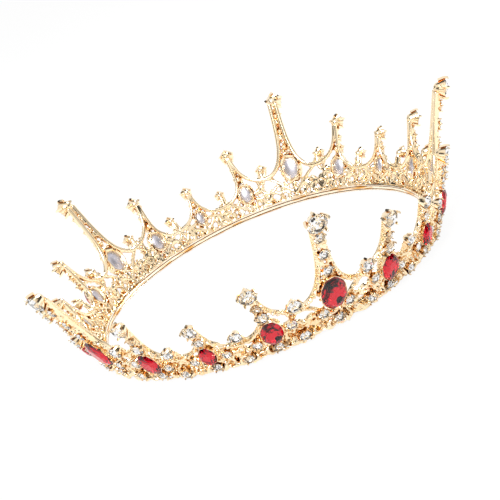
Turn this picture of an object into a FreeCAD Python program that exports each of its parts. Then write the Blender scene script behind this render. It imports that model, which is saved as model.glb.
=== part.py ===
"""Hair crown: a rigid ring of five soldered castings on a smooth head band, set with stones.

Millimetres, +Z up.  The origin is on the head band's axis, in the plane of its lower edge.
Twenty spires stand on the ring.  Each casting carries the same four: tall, middle, short,
middle.  A place on the wall is given as (bay, slope): bay counts spires round the ring from
the tall spire that faces -Y, towards +X, and slope is the distance up the leaning wall.
"""
import FreeCAD
import Part
import math
import os

V = FreeCAD.Vector

# ---- head band -------------------------------------------------------------
HEAD_RADIUS = 73.8        # inside radius that sits on the hair
BAND_THICKNESS = 1.2
BAND_HEIGHT = 3.0
SOLDER_GAP = 0.05         # between the band and the castings round it

# ---- castings ---------------------------------------------------------------
CASTINGS = 5
BAYS = 4                  # spires on one casting
SEAM_BAY = -1.5           # where the casting that holds the front spire begins
LEAN = 22.05              # degrees that the wall leans outwards
WALL = 1.5                # thickness of the openwork wall
RAIL_HEIGHT = 2.0         # of the upright part of the wall's inner face, along the band
WIRE = 1.25               # width of the bowed wires that link the spires
CUP_HEIGHT = 0.7          # a stone's cup stands out from the wall by this
CUP_SHARE = 0.3           # and by this share of the stone's width
SEAT_HEIGHT = 2.0         # the same for the oval seat of a red stone
SEAT_RIM = 0.45           # how far an oval seat shows round its stone
CLAW = 0.95               # reach of the five claws of a cup in a valley past its stone
CLAW_ROOT = 0.9           # radius between two claws, as a share of the stone's
TIP_CLAW = 1.35           # reach of the claws at the top of a spire
COLLAR = 0.75             # reach of a small cup's five corners past its stone

# ---- stones -----------------------------------------------------------------
TABLE = 0.58              # flat top of a stone, as a share of its width
CROWN = 0.3               # height of a stone above its cup, as a share of its width
GEM_CROWN = 2.4           # height of a red stone above its seat
GEM_SIDES = 10
FOIL = 0.7                # thickness of the silvered back of a red stone
FOIL_GAP = 0.1            # between a silvered back and the hole that shows it
FOIL_SHARE = 0.6          # width of that hole, as a share of the stone's
STONE_SIDES = 5           # of a small stone, as its cup
TIP_SIDES = 8
FOIL_SIDES = 6


class Spire:
    """One kind of spire: its red stone, the stones up its stem and the one at its tip."""

    def __init__(self, gem, gem_foot, chain_gap, chain_step, chain, tip_gap, tip, stem, foot, lean):
        self.gem_width, self.gem_length = gem
        self.gem_at = gem_foot + self.gem_length / 2
        gem_top = gem_foot + self.gem_length
        self.chain = [(gem_top + chain_gap + n * chain_step, d) for n, d in enumerate(chain)]
        self.tip_at = self.chain[-1][0] + tip_gap
        self.tip = tip
        self.stem = stem
        self.foot = foot
        self.lean = lean

    def sideways(self, slope):
        """How far the stem has leant over at this place."""
        return self.lean * max(0.0, slope - self.gem_at) / (self.tip_at - self.gem_at)


# gem (width, length), foot of the gem, gem to first stem stone, step, stem stones, last of them
# to the tip, tip stone, half width of the stem, (slope, width) of the stone below, lean at the tip
TALL = Spire((10.0, 14.0), 10.3, 3.9, 7.8, (4.0, 4.0, 4.0), 7.4, 7.5, 1.8, (4.4, 4.0), 0.0)
MIDDLE = Spire((8.0, 11.0), 6.8, 3.1, 5.0, (4.6, 3.6), 7.6, 6.3, 1.0, (3.8, 4.0), 1.9)
SHORT = Spire((6.0, 9.0), 6.8, 3.0, 0.0, (3.8,), 6.9, 5.3, 0.9, (3.7, 4.0), 0.0)
SPIRES = {-1: MIDDLE, 0: TALL, 1: MIDDLE, 2: SHORT}


class Valley:
    """The dip between two spires: its bowed wire, and the stones over and under it."""

    def __init__(self, dip, stone_rise, stone, foot, leg_width):
        self.dip = dip
        self.stone_at = dip + stone_rise
        self.stone = stone
        self.foot = foot
        self.leg_width = leg_width


# lowest point of the wire, rise to the stone over it, that stone's width, (slope, width) of the
# stone below, width of the leg that carries the upper stone
HIGH = Valley(17.0, 3.5, 5.2, (4.2, 4.2), 1.8)
LOW = Valley(11.7, 5.2, 4.6, (3.7, 4.0), 1.4)
HIGH_SIDE = 0.58          # bay of the stones in a high valley, from the tall spire
LOW_SIDE = 1.47
SWEEP = {"tall": 7.3, "middle": 4.2, "short": 4.0}   # how gently a wire leaves each stem

# stones beside the red ones, in a plain cup: (bay from the tall spire, slope, width)
SIDE_STONES = ((0.22, 9.6, 3.9), (0.70, 12.0, 3.9), (1.27, 8.5, 3.6), (1.74, 9.1, 3.6))

# leaf-shaped holes: (bay from the tall spire, slope, width, height, degrees of turn)
LEAVES = (
    (0.330, 16.2, 3.2, 7.4, -33),
    (0.485, 11.6, 4.4, 7.0, 4),
    (0.355, 7.4, 2.6, 2.8, 0),
    (0.795, 16.4, 2.1, 4.8, 16),
    (0.795, 8.2, 2.2, 3.6, -14),
    (1.225, 14.0, 2.8, 6.4, 28),
    (1.480, 8.7, 4.0, 4.0, 0),
    (1.840, 13.2, 2.1, 5.6, -24),
)
LEAF_SHOULDER = 0.08      # height of a leaf's widest place over its middle, as a share
# holes over a red stone, between the wires: (bay, slope, width, height)
LOOPS = ((0, 27.0, 2.4, 4.6), (-1, 19.9, 1.8, 2.6), (1, 19.9, 1.8, 2.6))
# arched holes along the rail: (bay from the tall spire, width, height)
ARCHES = ((0.29, 3.0, 3.4), (0.80, 2.6, 3.0), (1.25, 3.2, 2.8), (1.75, 2.8, 3.2))
ARCH_FOOT = 3.4           # slope at the foot of the arches

PITCH = 360.0 / (CASTINGS * BAYS)
RAIL_RADIUS = HEAD_RADIUS + BAND_THICKNESS + SOLDER_GAP
SIN = math.sin(math.radians(LEAN))
COS = math.cos(math.radians(LEAN))
SEAT_TOP = WALL + SEAT_HEIGHT
ROOT = 0.5 * WALL         # cups and seats start this deep in the wall
THROUGH = 6.0             # half length of a cutter through the wall


def wall_radius(slope):
    """Radius of the wall's inner face."""
    return RAIL_RADIUS - RAIL_HEIGHT * SIN / COS + slope * SIN


def on_wall(bay, slope):
    """Placement of a place on the wall's inner face: X round the ring, Y up, Z outwards."""
    a = math.radians(PITCH * bay)
    r = wall_radius(slope) / math.cos(math.radians(PITCH * (bay - round(bay))))
    x = V(math.cos(a), math.sin(a), 0)
    y = V(SIN * math.sin(a), -SIN * math.cos(a), COS)
    z = x.cross(y)
    o = V(r * math.sin(a), -r * math.cos(a), slope * COS)
    return FreeCAD.Placement(FreeCAD.Matrix(
        x.x, y.x, z.x, o.x,
        x.y, y.y, z.y, o.y,
        x.z, y.z, z.z, o.z,
        0, 0, 0, 1))


def ring(width, length, sides, turn=0.0):
    """Corners of a polygon round an oval."""
    corners = []
    for n in range(sides):
        a = math.radians(turn + 360.0 * n / sides)
        corners.append((width / 2 * math.cos(a), length / 2 * math.sin(a)))
    return corners


def prism(corners, low, high):
    points = [V(x, y, low) for x, y in corners]
    return Part.Face(Part.makePolygon(points + points[:1])).extrude(V(0, 0, high - low))


def frustum(lower, upper, low, high):
    """Solid with flat sides between two polygons of as many corners."""
    a = [V(x, y, low) for x, y in lower]
    b = [V(x, y, high) for x, y in upper]
    faces = [Part.Face(Part.makePolygon(a + a[:1])), Part.Face(Part.makePolygon(b + b[:1]))]
    for n in range(len(a)):
        m = (n + 1) % len(a)
        faces.append(Part.Face(Part.makePolygon([a[n], a[m], b[m], b[n], a[n]])))
    solid = Part.Solid(Part.Shell(faces))
    solid.fix(1e-4, 1e-4, 1e-4)
    if solid.Volume < 0:
        solid.reverse()
    return solid


def placed(shape, bay, slope, aside=0.0):
    here = on_wall(bay, slope)
    shape.Placement = here.multiply(FreeCAD.Placement(V(aside, 0, 0), FreeCAD.Rotation()))
    return shape


def cup_top(width):
    """Lift of the rim of a round stone's cup."""
    return WALL + CUP_HEIGHT + CUP_SHARE * width


def star(width, claw):
    """Outline of a cup with five claws, one of them pointing up."""
    corners = []
    for n in range(10):
        a = math.radians(90 + 36 * n)
        r = width / 2 + claw if n % 2 == 0 else width / 2 * CLAW_ROOT
        corners.append((r * math.cos(a), r * math.sin(a)))
    return corners


def claw_cup(width, claw, leg=0.0, leg_width=0.0):
    """Cup with five claws; a leg runs down from it between the two lower ones."""
    outline = star(width, claw)
    if leg:
        outline[5:6] = [(-leg_width / 2, -leg), (leg_width / 2, -leg)]
    return prism(outline, ROOT, cup_top(width))


def plain_cup(width):
    """Small five-cornered cup, whose corners are the claws."""
    w = width + 2 * COLLAR
    return prism(ring(w, w, STONE_SIDES, 90), ROOT, cup_top(width))


def stone(width, sides=STONE_SIDES):
    base = ring(width, width, sides, 90)
    table = ring(width * TABLE, width * TABLE, sides, 90)
    return frustum(base, table, cup_top(width), cup_top(width) + CROWN * width)


def gem(kind):
    base = ring(kind.gem_width, kind.gem_length, GEM_SIDES, 90)
    table = ring(kind.gem_width * TABLE, kind.gem_length * TABLE, GEM_SIDES, 90)
    return frustum(base, table, SEAT_TOP, SEAT_TOP + GEM_CROWN)


def seat(kind):
    return prism(ring(kind.gem_width + 2 * SEAT_RIM, kind.gem_length + 2 * SEAT_RIM,
                      GEM_SIDES, 90),
                 ROOT, SEAT_TOP)


def behind_gem(kind, gap):
    """Outline of the hole in a seat, or of the foil that fills it but for a gap."""
    width = kind.gem_width * FOIL_SHARE - 2 * gap
    length = kind.gem_length * FOIL_SHARE - 2 * gap
    return ring(width, length, FOIL_SIDES, 90)


def seat_hole(kind):
    return prism(behind_gem(kind, 0.0), -THROUGH, THROUGH)


def foil(kind):
    return prism(behind_gem(kind, FOIL_GAP), SEAT_TOP - FOIL, SEAT_TOP)


def valley_side(valley, spire, sweep, away, top, steps=5):
    """Edge of a valley from its dip up the stem of one spire, as (out from the middle, slope)."""
    edge = []
    for n in range(steps + 1):
        d = (top - valley.dip) * (n / steps) ** 2.2
        slope = valley.dip + d
        middle = wall_radius(slope) * math.sin(math.radians(PITCH / 2))
        room = middle + away * spire.sideways(slope) - spire.stem
        edge.append((room * math.sqrt(1 - math.exp(-d / sweep)), slope))
    return edge


def valley_cut(valley, left, right, left_away, right_away):
    """The open space over a bowed wire, between two stems."""
    top = TALL.tip_at + 2 * TIP_CLAW
    sweep = {TALL: SWEEP["tall"], MIDDLE: SWEEP["middle"], SHORT: SWEEP["short"]}
    outline = [(-x, s) for x, s in reversed(valley_side(valley, left, sweep[left], left_away, top))]
    outline += valley_side(valley, right, sweep[right], right_away, top)[1:]
    return prism([(x, s - valley.dip) for x, s in outline], -THROUGH, THROUGH)


def leaf(width, height, turn):
    """Outline of a pointed hole, widest above its middle."""
    a = math.radians(turn)
    out = []
    for x, y in ((0, 0.5), (-0.5, LEAF_SHOULDER), (0, -0.5), (0.5, LEAF_SHOULDER)):
        x, y = x * width, y * height
        out.append((x * math.cos(a) - y * math.sin(a), x * math.sin(a) + y * math.cos(a)))
    return out


def both_sides(bay):
    """A place beside the tall spire, and its mirror image."""
    return (bay, -bay)


def in_casting(bay):
    """The bay, brought round to the casting that holds the front spire."""
    while bay < SEAM_BAY:
        bay += BAYS
    return bay


def wall():
    """Blank of one casting: a flat leaning plate with its foot rail for each spire, mitred."""
    top = TALL.tip_at
    section = [
        (RAIL_RADIUS, 0),
        (wall_radius(0) + WALL / COS, 0),
        (wall_radius(top) + WALL * COS, top * COS - WALL * SIN),
        (wall_radius(top), top * COS),
        (RAIL_RADIUS, RAIL_HEIGHT),
    ]
    half = wall_radius(top) * math.tan(math.radians(PITCH / 2)) + WALL
    points = [V(-half, -r, z) for r, z in section]
    plate = Part.Face(Part.makePolygon(points + points[:1])).extrude(V(2 * half, 0, 0))
    far = 2 * wall_radius(top)
    reach = far * math.tan(math.radians(PITCH / 2))
    corners = [V(0, 0, 0), V(-reach, -far, 0), V(reach, -far, 0)]
    wedge = Part.Face(Part.makePolygon(corners + corners[:1])).extrude(V(0, 0, top))
    plate = plate.common(wedge)
    plates = []
    for bay in SPIRES:
        plates.append(plate.copy())
        plates[-1].rotate(V(), V(0, 0, 1), PITCH * bay)
    return plates[0].fuse(plates[1:])


def cutters():
    """Everything that is cut out of the blank."""
    cuts = []
    for bay, spire in SPIRES.items():
        if spire is not TALL:
            half = wall_radius(TALL.tip_at) * math.sin(math.radians(PITCH / 2)) + WALL
            box = [(-half, 0), (half, 0), (half, TALL.tip_at), (-half, TALL.tip_at)]
            cuts.append(placed(prism(box, -THROUGH, THROUGH), bay, spire.tip_at))
    cuts.append(placed(valley_cut(LOW, SHORT, MIDDLE, 0, -1), -1.5, LOW.dip))
    cuts.append(placed(valley_cut(HIGH, MIDDLE, TALL, 1, 0), -0.5, HIGH.dip))
    cuts.append(placed(valley_cut(HIGH, TALL, MIDDLE, 0, 1), 0.5, HIGH.dip))
    cuts.append(placed(valley_cut(LOW, MIDDLE, SHORT, -1, 0), 1.5, LOW.dip))
    cuts.append(placed(valley_cut(LOW, SHORT, MIDDLE, 0, -1), 2.5, LOW.dip))
    for bay, slope, width, height, turn in LEAVES:
        for side in both_sides(bay):
            outline = leaf(width, height, -turn if side > 0 else turn)
            cuts.append(placed(prism(outline, -THROUGH, THROUGH), in_casting(side), slope))
    for bay, slope, width, height in LOOPS:
        outline = leaf(width, height, 180)
        cuts.append(placed(prism(outline, -THROUGH, THROUGH), bay, slope))
    for bay, width, height in ARCHES:
        for side in both_sides(bay):
            outline = [(-width / 2, 0), (width / 2, 0), (width / 2, height * 0.6),
                       (0, height), (-width / 2, height * 0.6)]
            cuts.append(placed(prism(outline, -THROUGH, THROUGH), in_casting(side), ARCH_FOOT))
    return cuts


def casting():
    """One casting: openwork wall, cups with claws, plain cups and oval seats."""
    body = wall().cut(cutters())
    added = []
    for bay, spire in SPIRES.items():
        side = (1 if bay > 0 else -1) if spire is MIDDLE else 0
        for slope, width in spire.chain:
            added.append(placed(plain_cup(width), bay, slope, side * spire.sideways(slope)))
        added.append(placed(claw_cup(spire.tip, TIP_CLAW), bay, spire.tip_at, side * spire.lean))
        added.append(placed(plain_cup(spire.foot[1]), bay, spire.foot[0]))
        added.append(placed(seat(spire), bay, spire.gem_at))
    for valley, bay in ((HIGH, HIGH_SIDE), (LOW, LOW_SIDE)):
        for side in both_sides(bay):
            here = in_casting(side)
            leg = valley.stone_at - valley.dip + WIRE / 2
            cup = claw_cup(valley.stone, CLAW, leg, valley.leg_width)
            added.append(placed(cup, here, valley.stone_at))
            added.append(placed(plain_cup(valley.foot[1]), here, valley.foot[0]))
    for bay, slope, width in SIDE_STONES:
        for side in both_sides(bay):
            added.append(placed(plain_cup(width), in_casting(side), slope))
    body = body.fuse(added)
    body = body.cut([placed(seat_hole(s), bay, s.gem_at) for bay, s in SPIRES.items()])
    return body.removeSplitter()


def base_band():
    """Smooth and round inside, with a flat outside for each spire's plate."""
    across = 2 * (HEAD_RADIUS + BAND_THICKNESS) / math.cos(math.radians(PITCH / 2))
    outside = prism(ring(across, across, CASTINGS * BAYS, PITCH / 2), 0, BAND_HEIGHT)
    return outside.cut(Part.makeCylinder(HEAD_RADIUS, BAND_HEIGHT))


def stones():
    """The stones of one casting, in groups that become nodes."""
    groups = {name: [] for name in ("large_ruby", "middle_rubies", "small_ruby", "ruby_foils",
                                    "tip_crystals", "stem_crystals", "valley_crystals",
                                    "side_crystals", "foot_crystals")}
    ruby = {TALL: "large_ruby", MIDDLE: "middle_rubies", SHORT: "small_ruby"}
    for bay, spire in SPIRES.items():
        side = (1 if bay > 0 else -1) if spire is MIDDLE else 0
        groups[ruby[spire]].append(placed(gem(spire), bay, spire.gem_at))
        groups["ruby_foils"].append(placed(foil(spire), bay, spire.gem_at))
        groups["tip_crystals"].append(placed(stone(spire.tip, TIP_SIDES), bay, spire.tip_at, side * spire.lean))
        for slope, width in spire.chain:
            groups["stem_crystals"].append(
                placed(stone(width), bay, slope, side * spire.sideways(slope)))
        groups["foot_crystals"].append(placed(stone(spire.foot[1]), bay, spire.foot[0]))
    for valley, bay in ((HIGH, HIGH_SIDE), (LOW, LOW_SIDE)):
        for side in both_sides(bay):
            here = in_casting(side)
            groups["valley_crystals"].append(placed(stone(valley.stone), here, valley.stone_at))
            groups["foot_crystals"].append(placed(stone(valley.foot[1]), here, valley.foot[0]))
    for bay, slope, width in SIDE_STONES:
        for side in both_sides(bay):
            groups["side_crystals"].append(placed(stone(width), in_casting(side), slope))
    return groups


def write(name, shapes):
    shape = shapes[0] if len(shapes) == 1 else Part.makeCompound(shapes)
    shape.exportStep(os.path.join("parts", name + ".step"))


def turned(shape, n):
    copy = shape.copy()
    copy.rotate(V(), V(0, 0, 1), 360.0 / CASTINGS * n)
    return copy


def main():
    os.makedirs("parts", exist_ok=True)
    write("base_band", [base_band()])
    one = casting()
    groups = stones()
    for n in range(CASTINGS):
        write("casting_%d" % (n + 1), [turned(one, n)])
        for name, shapes in groups.items():
            write("%s_%d" % (name, n + 1), [turned(s, n) for s in shapes])


main()
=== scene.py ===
"""Hair crown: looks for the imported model.

Cast openwork in bright champagne gold, a rolled head band, faceted clear stones in claw cups and
oval ruby red stones on pierced seats.  Lengths are metres; values named in millimetres say so.
"""
import math
import random

import bpy
from mathutils import Matrix, Vector


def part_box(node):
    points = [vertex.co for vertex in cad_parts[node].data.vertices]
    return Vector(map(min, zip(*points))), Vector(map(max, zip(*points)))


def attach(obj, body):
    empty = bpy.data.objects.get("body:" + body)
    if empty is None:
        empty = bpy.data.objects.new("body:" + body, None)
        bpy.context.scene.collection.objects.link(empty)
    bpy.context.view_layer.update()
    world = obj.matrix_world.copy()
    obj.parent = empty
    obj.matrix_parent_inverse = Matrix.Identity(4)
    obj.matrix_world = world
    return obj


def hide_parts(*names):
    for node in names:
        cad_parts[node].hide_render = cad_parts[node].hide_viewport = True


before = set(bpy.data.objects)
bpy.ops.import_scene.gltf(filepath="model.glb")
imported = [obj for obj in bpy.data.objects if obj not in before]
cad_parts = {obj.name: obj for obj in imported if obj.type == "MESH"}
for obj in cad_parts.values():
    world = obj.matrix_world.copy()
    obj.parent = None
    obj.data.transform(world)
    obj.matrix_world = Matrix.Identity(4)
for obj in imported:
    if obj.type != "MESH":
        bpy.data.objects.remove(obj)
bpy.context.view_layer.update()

bl_info = {
    "name": "Hair crown",
    "version": (1, 0, 0),
    "blender": (4, 5, 0),
    "location": "3D View > Sidebar > Crown",
    "description": "Models the cast gold, the stones and the studio of a hair crown",
    "category": "Object",
}

MM = 0.001
ROOT = "root"
CASTINGS = 5
BAYS = 4                      # spires on one casting
PITCH = math.tau / (CASTINGS * BAYS)
SEAM = -1.5                   # bay where the first casting begins
ROUND_GROUPS = ("tip", "stem", "valley", "side", "foot")
OVAL_GROUPS = ("large_ruby", "middle_rubies", "small_ruby")
_, band_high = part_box("base_band")
HEAD_RADIUS = 0.0738
BAND_OUTSIDE = HEAD_RADIUS + 0.0012
GROOVE_AT = 0.0007            # height of the lower groove inside the band
TOP_GROOVE_AT = 0.0008        # and how far the other lies below the band's top


# ---- small tools ----

def settings(name):
    """The property group that holds one piece's sizes and colours."""
    return getattr(bpy.context.scene, name)


def linear(code):
    """Linear colour, with its alpha, of an sRGB hex value."""
    parts = [int(code[n:n + 2], 16) / 255 for n in (1, 3, 5)]
    return [c / 12.92 if c <= 0.04045 else ((c + 0.055) / 1.055) ** 2.4 for c in parts] + [1.0]


def node(tree, kind, inputs=None, **attributes):
    """Adds one shader node with its settings; an input that is a socket is linked."""
    made = tree.nodes.new(kind)
    for key, value in attributes.items():
        setattr(made, key, value)
    for key, value in (inputs or {}).items():
        if isinstance(value, bpy.types.NodeSocket):
            tree.links.new(value, made.inputs[key])
        else:
            made.inputs[key].default_value = value
    return made


def blank_material(name):
    made = bpy.data.materials.new(name)
    made.use_nodes = True
    made.node_tree.nodes.clear()
    return made


def ranged(tree, value, start, end, low=0.0, high=1.0):
    """Takes a value from the range start..end to the range low..high."""
    return node(tree, "ShaderNodeMapRange", {"Value": value, "From Min": start, "From Max": end,
                                             "To Min": low, "To Max": high}).outputs["Result"]


def mixed(tree, share, first, second):
    """The first colour where the share is nothing, the second where it is all."""
    return node(tree, "ShaderNodeMix", {0: share, 6: first, 7: second}, data_type="RGBA").outputs[2]


def reckon(tree, operation, first, second=0.0):
    return node(tree, "ShaderNodeMath", {0: first, 1: second}, operation=operation).outputs[0]


def noise(tree, vector, scale, detail=2.0):
    return node(tree, "ShaderNodeTexNoise", {"Vector": vector, "Scale": scale,
                                             "Detail": detail}).outputs["Fac"]


def openness(tree, reach):
    """Share of open directions at a place, within a reach in mm."""
    return node(tree, "ShaderNodeAmbientOcclusion", {"Distance": reach * MM}, samples=4,
                only_local=True).outputs["AO"]


def bumps(tree, height, strength, depth):
    """Normals of a relief of a depth in mm."""
    return node(tree, "ShaderNodeBump", {"Height": height, "Strength": strength,
                                         "Distance": depth * MM}).outputs["Normal"]


def surface(tree, inputs):
    """Ends a material in one principled shader."""
    shade = node(tree, "ShaderNodeBsdfPrincipled", inputs)
    node(tree, "ShaderNodeOutputMaterial", {"Surface": shade.outputs["BSDF"]})


def join(objects, name):
    bpy.ops.object.select_all(action="DESELECT")
    for o in objects:
        o.select_set(True)
    bpy.context.view_layer.objects.active = objects[0]
    if len(objects) > 1:
        bpy.ops.object.join()
    made = bpy.context.object
    bpy.ops.object.transform_apply(location=True, rotation=True, scale=True)
    made.name = name
    made.data.name = name
    return made


def copy_at(master, matrix):
    """A copy of a piece with its own mesh, put in place in the mesh."""
    made = master.copy()
    made.data = master.data.copy()
    made.data.transform(matrix)
    bpy.context.scene.collection.objects.link(made)
    return made


def remove(*objects):
    for o in objects:
        bpy.data.objects.remove(o, do_unlink=True)


def weld(threshold, flatness=0.0):
    """Joins the corners that touch, turns all faces outwards and leaves edit mode."""
    bpy.ops.mesh.select_all(action="SELECT")
    bpy.ops.mesh.remove_doubles(threshold=threshold)
    if flatness:
        bpy.ops.mesh.dissolve_limited(angle_limit=flatness)
    bpy.ops.mesh.normals_make_consistent(inside=False)
    bpy.ops.object.mode_set(mode="OBJECT")


def modify(piece, kind, **values):
    """Adds a modifier to the active piece and applies it."""
    bpy.ops.object.modifier_add(type=kind)
    made = piece.modifiers[-1]
    for key, value in values.items():
        setattr(made, key, value)
    bpy.ops.object.modifier_apply(modifier=made.name)


def finish_piece(piece, node_name):
    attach(piece, ROOT)
    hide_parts(node_name)


# ---- places on the leaning wall ----

def loose_parts(name):
    """Corners of each solid in a CAD node."""
    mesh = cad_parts[name].data
    corner = {}
    index = []
    for v in mesh.vertices:
        key = tuple(round(c, 6) for c in v.co)
        index.append(corner.setdefault(key, len(corner)))
    points = [Vector(key) for key in corner]
    group = list(range(len(points)))

    def find(n):
        while group[n] != n:
            n = group[n]
        return n

    for face in mesh.polygons:
        first = find(index[face.vertices[0]])
        for v in face.vertices[1:]:
            group[find(index[v])] = first
    parts = {}
    for n, p in enumerate(points):
        parts.setdefault(find(n), []).append(p)
    return list(parts.values())


def measured_lean():
    """Lean of the wall, from the large red stone that faces -Y: its flat base lies in the wall."""
    points = loose_parts("large_ruby_1")[0]
    top = max(points, key=lambda p: p.z)
    foot = min((p for p in points if abs(p.x) < 1e-5), key=lambda p: p.z)
    return math.atan2(abs(top.y - foot.y), top.z - foot.z)


LEAN = measured_lean()
WALL_FOOT = BAND_OUTSIDE + 0.00005 - 0.002 * math.tan(LEAN)    # wall's inner face at the floor
ROUND_OUT = 0.3 * MM          # the round wall runs between the flat CAD plates' middles and mitres
WALL = 1.5                    # thickness of the wall, mm
WALL_MIDDLE = WALL / 2        # lift of the wires


def wall_radius(slope):
    return WALL_FOOT + ROUND_OUT + slope * MM * math.sin(LEAN)


def seat_matrix(bay, slope, lift=0.0, aside=0.0):
    """Matrix of a place on the wall: X round the ring, Y up the wall, Z outwards."""
    a = PITCH * bay
    x = Vector((math.cos(a), math.sin(a), 0))
    y = Vector((math.sin(LEAN) * math.sin(a), -math.sin(LEAN) * math.cos(a), math.cos(LEAN)))
    z = x.cross(y)
    r = wall_radius(slope)
    o = Vector((r * math.sin(a), -r * math.cos(a), slope * MM * math.cos(LEAN)))
    o += z * lift * MM + x * aside * MM
    m = Matrix((x, y, z)).transposed().to_4x4()
    m.translation = o
    return m


def spot(bay, slope, lift=WALL_MIDDLE, aside=0.0):
    return seat_matrix(bay, slope, lift, aside).translation


def stone_places(name):
    """(matrix on the cup's rim, width, length) of each stone in a CAD node."""
    places = []
    for points in loose_parts(name):
        middle = sum(points, Vector()) / len(points)
        around = math.atan2(middle.x, -middle.y)
        if name.startswith(("large", "middle", "small", "ruby", "stem", "tip")):
            around = round(around / PITCH) * PITCH
        m = seat_matrix(around / PITCH, 0)
        x, y, z = (m.col[n].to_3d() for n in range(3))
        depth = min(p.dot(z) for p in points)
        base = [p for p in points if p.dot(z) < depth + 0.05 * MM]
        centre = sum(base, Vector()) / len(base)
        corners = len(base)
        widest = max(abs(math.cos(math.pi / 2 + math.tau * n / corners)) for n in range(corners))
        reach = max(abs((p - centre).dot(y)) for p in base)
        spread = max(abs((p - centre).dot(x)) for p in base) / widest
        m.translation = centre
        places.append((m, 2 * spread, 2 * reach))
    return places


# ---- materials ----

# Reach in mm in which openness is taken, and the openness between which painted shade sets in: the
# plate goes from the deep tone of painted shade to its own, and from the dark seam shade to the
# deep one
CAST_REACH, CAST_PAINTED_SHADE, CAST_PAINTED_SEAM_SHADE = 1.6, (0.36, 0.86), (0.12, 0.35)
BAND_REACH, BAND_PAINTED_SHADE = 0.8, (0.45, 0.95)
# Scales of the noises: grain of the mould, clouds in the plate, wear of the band, dents of the foil
GRAIN, CLOUD, WEAR, DENTS = 420.0, 160.0, 110.0, 700.0
WORN = (0.50, 0.64)           # share of the wear's noise from which the warm metal shows
WEAR_STRETCH = (1.0, 1.0, 9.0)
LINE_STRETCH = (60.0, 60.0, 2600.0)


def gold_material():
    """Champagne gold plate on a casting: bright on what stands proud, with the faint grain of the
    mould, and painted shade down in the openwork: deeper gold in its hollows, dark brown in its
    seams."""
    s = settings("crown_gold")
    made = blank_material("champagne_gold_plate")
    t = made.node_tree
    at = node(t, "ShaderNodeTexCoord").outputs["Object"]
    free = openness(t, CAST_REACH)
    cloud = noise(t, at, CLOUD)
    tone = mixed(t, cloud, linear(s.colour_pale), linear(s.colour_warm))
    # painted shade: a deeper gold where the openwork is closed in, dark brown down in its seams
    tone = mixed(t, ranged(t, free, *CAST_PAINTED_SHADE), linear(s.colour_deep_shade_and_wear), tone)
    tone = mixed(t, ranged(t, free, *CAST_PAINTED_SEAM_SHADE), linear(s.colour_painted_seam_shade), tone)
    rough = ranged(t, cloud, 0.0, 1.0, s.roughness, s.roughness + s.unevenness)
    surface(t, {"Base Color": tone, "Metallic": 1.0, "Roughness": rough,
                "Normal": bumps(t, noise(t, at, GRAIN, 1.0), 0.08, 0.15)})
    return made


def band_material():
    """The same plate on a rolled strip: smoother, with fine drawing lines along it, wear, and
    painted shade dark in its grooves.
    """
    s = settings("crown_gold")
    made = blank_material("polished_gold_strip")
    t = made.node_tree
    at = node(t, "ShaderNodeTexCoord").outputs["Object"]
    along = node(t, "ShaderNodeMapping", {"Vector": at, "Scale": LINE_STRETCH}).outputs["Vector"]
    worn = node(t, "ShaderNodeMapping", {"Vector": at, "Scale": WEAR_STRETCH}).outputs["Vector"]
    worn = ranged(t, noise(t, worn, WEAR, 3.0), *WORN)
    tone = mixed(t, worn, linear(s.colour_pale), linear(s.colour_deep_shade_and_wear))
    # painted shade: the dark seam colour where the grooves close in
    tone = mixed(t, ranged(t, openness(t, BAND_REACH), *BAND_PAINTED_SHADE), linear(s.colour_painted_seam_shade), tone)
    surface(t, {"Base Color": tone, "Metallic": 1.0, "Roughness": s.roughness,
                "Normal": bumps(t, noise(t, along, 1.0), 0.15, 0.05)})
    return made


def glass_material(name, colour, ior):
    """Polished glass: clear, with a strong gloss."""
    made = blank_material(name)
    surface(made.node_tree, {"Base Color": linear(colour), "Roughness": 0.0, "IOR": ior,
                             "Transmission Weight": 1.0})
    return made


def foil_material(name, colour, roughness):
    """Silver foil fused to the back of a stone: a slightly uneven mirror."""
    made = blank_material(name)
    t = made.node_tree
    dents = noise(t, node(t, "ShaderNodeTexCoord").outputs["Object"], DENTS)
    surface(t, {"Base Color": linear(colour), "Metallic": 1.0,
                "Roughness": ranged(t, dents, 0.0, 1.0, roughness, roughness + 0.05)})
    return made


# ---- stones ----

GIRDLE = 1.05                 # width of a cut stone over its cup's


def grind(profile, mains):
    """Grinds tiers of flat facets, each turned by half a step, along a profile of (radius, height)
    pairs from the girdle inwards, and a flat where the profile ends off the axis."""
    side = math.copysign(1.0, profile[-1][1])
    for tier, ((radius, height), (to, up)) in enumerate(zip(profile, profile[1:])):
        for n in range(mains):
            turn = math.tau * (n + 0.5 * (tier % 2)) / mains
            out = Vector((math.cos(turn), math.sin(turn), 0))
            bpy.ops.mesh.select_all(action="SELECT")
            outwards = out * abs(up - height) + Vector((0, 0, side * (radius - to)))
            bpy.ops.mesh.bisect(plane_co=out * radius + Vector((0, 0, height)), plane_no=outwards,
                                use_fill=True, clear_outer=True)
    if to > 0:
        bpy.ops.mesh.select_all(action="SELECT")
        bpy.ops.mesh.bisect(plane_co=(0, 0, up), plane_no=(0, 0, side), use_fill=True,
                            clear_outer=True)


def brilliant(name, mains, front, back, shades, materials):
    """A stone of unit width, girdle in its XY plane, cut from a rod facet by facet.  The shades
    name the material of the back facets at each half step; a flat end carries the last one."""
    bpy.ops.object.select_all(action="DESELECT")
    bpy.ops.mesh.primitive_cylinder_add(vertices=mains * 3, radius=0.5, depth=1.6)
    made = bpy.context.object
    bpy.ops.object.mode_set(mode="EDIT")
    grind(front, mains)
    grind(back, mains)
    weld(0.002, flatness=0.01)
    for material in materials:
        made.data.materials.append(material)
    for face in made.data.polygons:
        turn = round(math.atan2(face.center.y, face.center.x) / math.tau * mains * 2) % (mains * 2)
        if face.normal.z < -0.1:          # a back facet, or
            flat = face.normal.z < -0.98      # the flat end
            face.material_index = len(materials) - 1 if flat else shades[turn]
    made.name = name
    return made


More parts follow.
